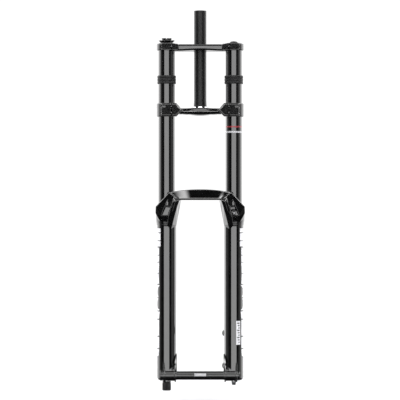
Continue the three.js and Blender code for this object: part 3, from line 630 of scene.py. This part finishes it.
def valve_cap():
    z = low("air_valve_cap").z
    cap = turned([(4.1, z), (8.9, z), (9.0, z + 1.2), (8.2, z + 2.5), (6.2, z + 3.4), (3.0, z + 3.95),
                  (0, z + 4.1), (0, z + 2.6), (4.1, z + 2.6), (4.1, z)])
    piece("valve_cap_dome", on_leg(1, cap), "valve_cap", SATIN, ["air_valve_cap"], sharp=50)


# ---------------------------------------------------------------- lower legs


def arch_bar():
    rows = []
    steps = 28
    for i in range(2 * steps + 1):
        t = 1 - i / steps
        xt, xb = 70.0 * t, 47.4 * t
        z1 = -187.2 - 6.6 * abs(t) ** 2.2
        z0 = -211.6
        yt, yb = -80 + 8 * t * t, -86.6 + 5.4 * t * t
        rows.append([(xb, ARCH_BACK, z0 + 3), (xt, ARCH_BACK, z1 - 3), (xt, ARCH_BACK - 2, z1),
                     (xt, yt + 1, z1), (xt, yt, z1 - 0.8), (xb, yb, z0 + 4.4), (xb, yb - 0.7, z0 + 3.8),
                     (xb, yb - 0.7, z0 + 1.6), (xb, yb + 1.2, z0), (xb, ARCH_BACK - 3, z0)])
    return loft(rows)


def shoulder():
    """Three hulls on the air side: the cheek above the leg, its spread round the leg, and the inner rib."""
    cheek = hull([
        (70, -73.5, -194), (71.4, ARCH_BACK, -194.6), (47.4, -84.6, -212), (43, ARCH_BACK, -213),
        (43, -70, -214), (46, ARCH_BACK, -227), (52.9, -82, -227), (64, -81.5, -227),
        (100, -70, -226), (101.2, ARCH_BACK, -226),
    ])
    spread = hull([
        (101.2, ARCH_BACK, -226), (100, -70, -226), (64, -81.5, -227), (52.9, -82, -227),
        (46, ARCH_BACK, -227), (101.6, -60, -229), (101.6, -63, -241), (93, -48, -263),
        (88.5, -70.5, -247.5), (73.5, -73, -247.5), (90, -55.5, -262), (75, -58.5, -262), (46.5, -66, -229),
        (49.9, -62, -241.7), (52.9, -56, -254.4), (54.2, -46, -270), (54.2, -40, -230), (99.5, -40, -230),
        (99.5, -40, -244),
    ])
    rib = hull([
        (47.4, -84.6, -212), (52.9, -82, -229), (56.7, -77.5, -241.7), (60, -72, -254.4), (63, -66, -267),
        (66.5, -59, -277.5), (62.5, -83.5, -217.7), (68.5, -79, -236), (73.9, -71.5, -254.4),
        (75.2, -62, -269.6), (56, -87, -214), (63, -81.5, -238), (68.5, -71.5, -262), (60, -81, -206),
        (43, -70, -214), (46.5, -66.5, -229), (49.9, -62, -241.7), (52.9, -56, -254.4), (54.2, -46, -270),
        (66, -52, -274),
    ])
    return [cheek, spread, rib]


def shoulder_pocket():
    """The open pocket between the rib and the wing."""
    floor_y, rim_y = -61.5, -92
    floor = [(72.6, -213), (63.4, -219), (73.4, -246.6), (87.4, -246.6)]
    rim = [(73.6, -208), (62.2, -217), (73.9, -247.6), (89.6, -247.6)]
    return loft([[(x, floor_y, z) for x, z in floor], [(x, rim_y, z) for x, z in rim]])


def seal_housing():
    return turned([(0, -272), (22.0, -272), (22.3, -270), (24.6, -259), (25, -250), (25, LEG_TOP - 0.9),
                   (24.1, LEG_TOP), (0, LEG_TOP)], 96)


def arch_and_shoulders():
    solids = [arch_bar(), *both([*shoulder(), on_leg(1, seal_housing())])]
    cuts = both([shoulder_pocket(), on_leg(1, disc(26, LEG_TOP, LEG_TOP + 60, 96)),
                 on_leg(1, disc(22.6, -300, LEG_TOP + 2, 96))])
    body = cast(solids, cuts, VOXEL, 3)
    piece("arch_and_shoulders", body, LOWERS, PAINT, ["lower_legs"])


def leg_tubes():
    for leg, side in SIDES:
        tube = turned([
            (LEG_BORE_R, -596), (LEG_BORE_R, -242), (22.2, -242), (22.2, LEG_TOP), (24.2, LEG_TOP),
            (24.7, LEG_TOP - 0.6), (24.7, -250), (24.3, -259), (22.6, -268), (LEG_R, -272),
            (LEG_R, LEG_BOTTOM + 8), (21.6, LEG_BOTTOM + 4.6), (19.6, LEG_BOTTOM + 1.8),
            (16.5, LEG_BOTTOM + 0.3), (14, LEG_BOTTOM), (5, LEG_BOTTOM), (5, -596), (LEG_BORE_R, -596)])
        piece(f"leg_tube_{leg}_side", on_leg(side, tube), LOWERS, PAINT, ["lower_legs"])


DROP_IN, DROP_OUT = 53.0, 84.5


def dropouts():
    flange, barrel = 15.2, 12.4
    at = (0, AXLE_Y, AXLE_Z)
    y, z = AXLE_Y, AXLE_Z
    inner_ring = moved(along_x(disc(flange, DROP_IN, DROP_IN + 5, 96)), *at)
    outer_ring = moved(along_x(disc(flange, DROP_OUT - 4.5, DROP_OUT, 96)), *at)
    tube = moved(along_x(disc(barrel, DROP_IN + 2, DROP_OUT - 1, 96)), *at)
    inner_web = hull([(x, py, pz) for x, py, pz in (
        (DROP_IN, y - 13, z + 8), (DROP_IN + 5, y - 13, z + 8), (DROP_IN, -42, z + 49),
        (DROP_IN + 3, -46, z + 47), (DROP_IN, y - 4, z + 34), (DROP_IN + 5, y - 4, z + 30),
        (DROP_IN, -34, z + 46), (DROP_IN, -34, z - 8), (DROP_IN + 5, -34, z - 8),
        (DROP_IN + 5, -38, z + 46))])
    gusset = hull([(DROP_IN + 3, y - 8, z + 27), (DROP_IN + 5, y - 8, z + 22), (DROP_IN + 14, y - 6, z + 10),
                   (DROP_IN + 11, y - 6, z + 10), (DROP_IN + 3, -40, z + 38), (DROP_IN + 12, -40, z + 20),
                   (DROP_IN + 3, -40, z + 10)])
    outer_web = hull([(x, py, pz) for x in (DROP_OUT - 3.5, DROP_OUT) for py, pz in (
        (y - 13, z + 8), (y - 7, z + 29), (-46, z + 34), (-38, z + 32), (-38, z - 8))])
    saddle = hull([(DROP_IN + 4, y - 8, z + 8), (DROP_OUT - 4, y - 8, z + 8), (62, -51, z + 24),
                   (DROP_OUT - 4, -51, z + 26), (62, -38, z - 8), (DROP_OUT - 4, -38, z - 8),
                   (62, -40, z + 30), (DROP_OUT - 4, -40, z + 34)])
    seat = moved(along_x(disc(11.8, 40, 55, 96)), *at)
    seat_mouth = box(40, 55, y - 11.8, y + 11.8, z - 20, z)
    bore = moved(along_x(disc(10.05, 40, 110, 96)), *at)
    counterbore = moved(along_x(disc(12.3, 80.4, 110, 96)), *at)
    foot = on_leg(1, disc(11.2, LEG_BOTTOM - 20, LEG_BOTTOM, 64))
    inside = on_leg(1, disc(21, -596, -500, 64))
    bolt = on_leg(1, disc(5, -640, -590, 48))
    body = cast([inner_ring, outer_ring, tube, inner_web, gusset, outer_web, saddle],
                [seat, seat_mouth, bore, counterbore, foot, inside, bolt], 0.45, 3)
    other = mirrored(body)
    piece("dropout_air_side", body, LOWERS, PAINT, ["lower_legs"])
    piece("dropout_damper_side", other, LOWERS, PAINT, ["lower_legs"])


BRAKE_X, BRAKE_BACK, BRAKE_HEIGHTS = 57.0, 4.0, (-515.0, -589.2)


def brake_posts():
    for i, z in enumerate(BRAKE_HEIGHTS, 1):
        post = moved(along_y(turned([(0, -BRAKE_BACK), (7.0, -BRAKE_BACK), (7.6, -BRAKE_BACK + 0.6),
                                     (7.6, 34), (0, 34)],
                                    64)), BRAKE_X, 0, z)
        gusset = hull([(BRAKE_X - 4, -6, z + 5), (BRAKE_X + 6, -6, z + 5), (BRAKE_X - 4, -6, z - 5),
                       (BRAKE_X + 6, -6, z - 5), (BRAKE_X - 1, LEG_Y, z + 22), (BRAKE_X + 10, -20, z + 22),
                       (BRAKE_X - 1, LEG_Y, z - 16), (BRAKE_X + 10, -20, z - 16)])
        hole = moved(along_y(disc(2.5, -BRAKE_BACK - 1, 18, 32)), BRAKE_X, 0, z)
        inside = on_leg(1, disc(20.8, -596, -400, 64))
        body = cast([post, gusset], [hole, inside], 0.5, 3)
        piece(f"brake_post_{i}", body, LOWERS, PAINT, ["lower_legs"])


def wipers():
    z0, z1 = LEG_TOP - 13.7, LEG_TOP
    inner = STANCHION_R + GAP
    for leg, side in SIDES:
        seal = turned([(inner + 0.8, z0), (22.1, z0), (22.1, z1 + 0.2), (23.8, z1 + 0.2), (23.8, z1 + 1.1),
                       (23.2, z1 + 1.6), (20.8, z1 + 2.0), (19.9, z1 + SEAL_LIP), (inner, z1 + SEAL_LIP),
                       (inner, z1 + 1.4), (inner + 0.8, z1), (inner + 0.8, z0)])
        piece(f"wiper_{leg}_side", on_leg(side, seal), LOWERS, RUBBER,
              [f"wiper_seal_{leg}_side"])


def slide_rings():
    """The foam rings and bushings that each stanchion runs in."""
    for leg, side in SIDES:
        for name, inner, look, slot in (("foam_ring", STANCHION_R + 0.12, FOAM, "foam"),
                                        ("upper_bushing", STANCHION_R + 0.1, BRONZE, "bearing_bronze"),
                                        ("lower_bushing", STANCHION_R + 0.1, BRONZE, "bearing_bronze")):
            node = f"{name}_{leg}_side"
            outer = (high(node).x - low(node).x) / 2
            body = on_leg(side, ring(outer, inner, low(node).z, high(node).z))
            piece(f"{name}_sleeve_{leg}_side", body, LOWERS, look, [node])


def axle():
    y, z = AXLE_Y, AXLE_Z
    head, end = AXLE_HEAD, AXLE_END
    body = turned([(0, head + 6), (4.6, head + 6), (4.6, head + 0.6), (5.2, head), (11.2, head),
                   (11.9, head + 0.7), (11.9, -80.9), (10, -80.9), (10, 70), (9.4, 70.6), (9.4, end - 1.2),
                   (8.4, end), (7, end), (7, -60), (0, -60)])
    piece("axle_shaft", moved(along_x(body), 0, y, z), "axle", CROWN_PAINT,
          ["through_axle"])
    # A painted highlight: a pale band across the front of the axle that stands for the soft box's reflection
    # on the shaft. It is not a print.
    rings = []
    for r in (AXLE_R + 0.05, AXLE_R - 0.3):
        rings.append([(r * math.sin(math.radians(a)), r * math.cos(math.radians(a)))
                      for a in range(-6, 31, 3)])
    outline = [*rings[0], *reversed(rings[1])]
    mark = loft([[(x, y - ahead, z + up) for up, ahead in outline] for x in (-13, 13)])
    piece("axle_painted_highlight", mark, "axle", PALE_PRINT_AND_HIGHLIGHT)


def rebound_knob():
    z0, z1 = KNOB_BOTTOM, KNOB_TOP

    def flutes(angle, r, z):
        if r < 8 or z > z1 - 4 or z < z0 + 0.5:
            return 0.0
        return -0.9 * math.cos(8 * angle) ** 2

    waist = z1 - 4.4
    knob = turned([(0, z0), (8.4, z0), (9.5, z0 + 0.6), (10, z0 + 1.6), (10, waist), (9.2, waist + 0.8),
                   (9.2, waist + 1.6), (9.8, waist + 2.2), (9.8, z1 - 0.6), (9.2, z1), (0, z1)], 256, flutes)
    piece("rebound_knob_grip", on_leg(-1, knob), "rebound_adjuster", SATIN,
          ["rebound_knob"])


def feet():
    under = low("crush_washer_air_side").z
    for leg, side in SIDES:
        washer = ring(7.2, 4.2, under, LEG_BOTTOM - 0.05)
        piece(f"foot_washer_{leg}_side", on_leg(side, washer), LOWERS, BARE,
              [f"crush_washer_{leg}_side"])
    z = under - 0.3
    foot = turned([(2.4, LEG_BOTTOM + 48), (4, LEG_BOTTOM + 48), (4, z), (5.6, z), (5.4, z - 3),
                   (4.4, z - 8.2), (3.8, z - 9), (2.4, z - 9), (2.4, LEG_BOTTOM + 48)], 64)
    piece("air_foot_nut", on_leg(1, foot), LOWERS, STEEL, ["air_foot_bolt"])


def hose_guide():
    lo, hi = low("hose_guide"), high("hose_guide")
    x, z = 77.0, -240.8
    front = hi.y
    foot = box(x - 3.3, x + 3.1, front - 3.4, front, lo.z, hi.z)
    loop = moved(disc(4.7, z + 3.8, z + 9.8, 64), x - 1.1, front - 6.2)
    hose = moved(disc(3.2, z + 2, z + 15, 64), x - 1.1, front - 6.2)
    mouth = box(x - 2.7, x + 0.5, front - 14, front - 6, z + 2, z + 15)
    hole = moved(along_y(disc(1.9, 60, 70, 32)), x, 0, z)
    clip = cast([foot, loop], [hose, mouth, hole], SMALL_VOXEL, 3)
    piece("hose_clip", clip, LOWERS, PLASTIC, ["hose_guide"])
    screw = turned([(0, -2), (1.5, -2), (1.5, 3.7), (3.2, 3.7), (3.2, 4.8), (2.4, 5.5), (0, 5.5)], 48)
    screw = combined([screw], [polygon(6, 1.5, 4.2, 6)])
    piece("hose_clip_screw", moved(along_y(screw), x, front, z), LOWERS, STEEL,
          ["hose_guide_screw"])


# ---------------------------------------------------------------- decals


def patch(outline, side, lift=0.04):
    """A thin print on a leg tube. The outline is in mm up, and in degrees from straight outboard towards the
    front."""
    steps = 40
    verts, faces = [], []
    for depth in (lift, -0.4):
        r = LEG_R + depth
        for z, left, right in outline:
            for i in range(steps + 1):
                angle = math.radians(left + (right - left) * i / steps)
                verts.append((side * (LEG_X + r * math.cos(angle)), LEG_Y - r * math.sin(angle), z))
    n, rows = steps + 1, len(outline)
    for layer in (0, 1):
        for j in range(rows - 1):
            for i in range(steps):
                a = layer * n * rows + j * n + i
                faces.append([a, a + 1, a + n + 1, a + n])
    border = [j * n for j in range(rows)] + [(rows - 1) * n + i for i in range(1, n)]
    border += [j * n + steps for j in range(rows - 2, -1, -1)] + [i for i in range(steps - 1, 0, -1)]
    for a, b in zip(border, border[1:] + border[:1]):
        faces.append([a, b, b + n * rows, a + n * rows])
    return mesh_of(verts, faces)


# Bars on the outer face of each leg, from the top: heights, then the front edge at the top and at the
# bottom in degrees. Each is as far behind as it is ahead.
BARS = (
    (-276, -285, 52, 52), (-287, -303, 52, 52), (-305, -317, 52, 52),
    (-320, -336, 40, 40), (-338, -352, 40, 40), (-354, -378, 40, 36), (-380, -402, 36, 40),
    (-405, -432, 44, 30), (-435, -462, 30, 44), (-465, -481, 46, 40),
    (-484, -520, 40, 40), (-523, -548, 40, 40), (-551, -566, 40, 34),
)


def decals():
    for leg, side in SIDES:
        for i, (z1, z0, upper, lower) in enumerate(BARS, 1):
            print_ = patch([(z1, -upper, upper), (z0, -lower, lower)], side)
            piece(f"leg_bar_{leg}_side_{i}", print_, LOWERS, WHITE)
    sticker = patch([(-486, 50, 76), (-540, 50, 76)], 1, 0.06)
    piece("sticker", sticker, LOWERS, WHITE)
    for i in range(9):
        z1 = -490 - 5.4 * i
        mark = patch([(z1, 55, 71 - 4 * (i % 3)), (z1 - 2.6, 55, 71 - 4 * (i % 3))], 1, 0.09)
        piece(f"sticker_mark_{i + 1}", mark, LOWERS, PLASTIC)


# ---------------------------------------------------------------- hidden pieces


def hidden_pieces():
    """The inner pieces keep their CAD meshes and only take a finish."""
    looks = {"bare_aluminium": BARE, "polished_steel": POLISHED, "bearing_bronze": BRONZE,
             "black_rubber": RUBBER, "black_plastic": PLASTIC, "foam": FOAM, "bolt_steel": STEEL,
             "black_anodised": ANODISED, "satin_black": SATIN, "gloss_black_paint": PAINT}
    slots = {part["node"]: part["material_slot"] for part in frame["record"]["subparts"]}
    for node, thing in frame["nodes"].items():
        thing.data.materials.clear()
        thing.data.materials.append(looks[slots[node]])


# ---------------------------------------------------------------- studio


def camera():
    data = bpy.data.cameras.new("camera")
    data.lens = 200
    data.sensor_width = 36
    width_shown = 0.912
    distance = width_shown * data.lens / data.sensor_width
    thing = bpy.data.objects.new("camera", data)
    aim = Vector((-0.0005, LEG_Y * MM, -0.2114))
    thing.location = aim + Vector((0, -distance, 0))
    thing.rotation_euler = (math.radians(90), 0, 0)
    data.clip_end = 50
    bpy.context.scene.collection.objects.link(thing)
    bpy.context.scene.camera = thing


def studio():
    """White all round for the eye and for matte surfaces; soft boxes and dark flags for glossy ones."""
    scene = bpy.context.scene
    scene.view_settings.view_transform = "Standard"
    world = bpy.data.worlds.new("studio")
    scene.world = world
    world.use_nodes = True
    nodes, links = world.node_tree.nodes, world.node_tree.links
    background = nodes["Background"]
    direction = nodes.new("ShaderNodeTexCoord")
    split = nodes.new("ShaderNodeSeparateXYZ")
    links.new(direction.outputs["Generated"], split.inputs[0])

    def maths(operation, a, b=None):
        node = nodes.new("ShaderNodeMath")
        node.operation = operation
        for socket, value in zip(node.inputs, (a, b)):
            if value is None:
                continue
            if isinstance(value, (int, float)):
                socket.default_value = value
            else:
                links.new(value, socket)
        return node.outputs[0]

    def step(value, edge, softness):
        node = nodes.new("ShaderNodeMapRange")
        node.interpolation_type = "SMOOTHSTEP"
        node.inputs["From Min"].default_value = edge - softness
        node.inputs["From Max"].default_value = edge + softness
        links.new(value, node.inputs["Value"])
        return node.outputs["Result"]

    def window(value, start, end, softness):
        return maths("MULTIPLY", step(value, start, softness),
                     maths("SUBTRACT", 1.0, step(value, end, softness)))

    forward = maths("MULTIPLY", split.outputs["Y"], -1.0)
    degrees = 180 / math.pi
    azimuth = maths("MULTIPLY", maths("ARCTAN2", split.outputs["X"], forward), degrees)
    elevation = maths("MULTIPLY", maths("ARCSINE", split.outputs["Z"]), degrees)
    # Azimuth start and end (0 is the front, + is towards +X), elevation start and end, brightness, edge
    # softness.
    boxes = (
        (-31, 31, -7.5, 7.2, 6.0, 1.5),
        (-35, 35, 16, 24, 7.0, 1.5),
        (-35, 35, -26, -13, 2.2, 3),
        (58, 90, -25, 24, 0.7, 3),
        (-90, -66, -25, 24, 0.35, 3),
        (-110, -50, 24, 47, 3.4, 4),
        (80, 110, 24, 47, 3.4, 4),
        (-181, -90, -25, 48, 1.6, 12),
        (90, 181, -25, 48, 1.6, 12),
        (-150, -92, -25, 48, 2.4, 12),
        (92, 150, -25, 48, 2.4, 12),
        (-80, -17, 31, 47, 13.5, 4),
        (27, 80, 31, 47, 21.0, 2),
        (-181, 181, 47, 68, 3.8, 3),
        (-181, 181, 66, 91, 0.8, 3),
        (-35, 35, 42.5, 50, 3.0, 1.5),
    )
    total = None
    for start, end, bottom, top, brightness, softness in boxes:
        light = maths("MULTIPLY", window(azimuth, start, end, softness),
                      window(elevation, bottom, top, softness))
        light = maths("MULTIPLY", light, brightness)
        total = light if total is None else maths("ADD", total, light)
    ambient = 1.1
    path = nodes.new("ShaderNodeLightPath")
    glossy = path.outputs["Is Glossy Ray"]
    strength = maths("ADD", maths("MULTIPLY", total, glossy),
                     maths("MULTIPLY", maths("SUBTRACT", 1.0, glossy), ambient))
    links.new(strength, background.inputs["Strength"])
    background.inputs["Color"].default_value = (1, 1, 1, 1)


def floor():
    drop = 25
    half = 6000
    under = cad_box[0][2] / MM - drop
    bm = mesh_of([(-half, -half, under), (half, -half, under), (half, half, under), (-half, half, under)],
                 [[0, 1, 2, 3]])
    bmesh.ops.scale(bm, verts=bm.verts, vec=(MM, MM, MM))
    mesh = bpy.data.meshes.new("floor")
    bm.to_mesh(mesh)
    mesh.materials.append(FLOOR)
    thing = bpy.data.objects.new("floor", mesh)
    thing.visible_glossy = False
    bpy.context.scene.collection.objects.link(thing)


camera()
studio()
floor()
hidden_pieces()
steerer()
lower_crown()
upper_crown()
bolts()
stanchions()
bumpers()
top_cap("damper_top_cap")
top_cap("air_top_cap")
dials()
valve_cap()
arch_and_shoulders()
leg_tubes()
dropouts()
brake_posts()
wipers()
slide_rings()
axle()
rebound_knob()
feet()
hose_guide()
decals()
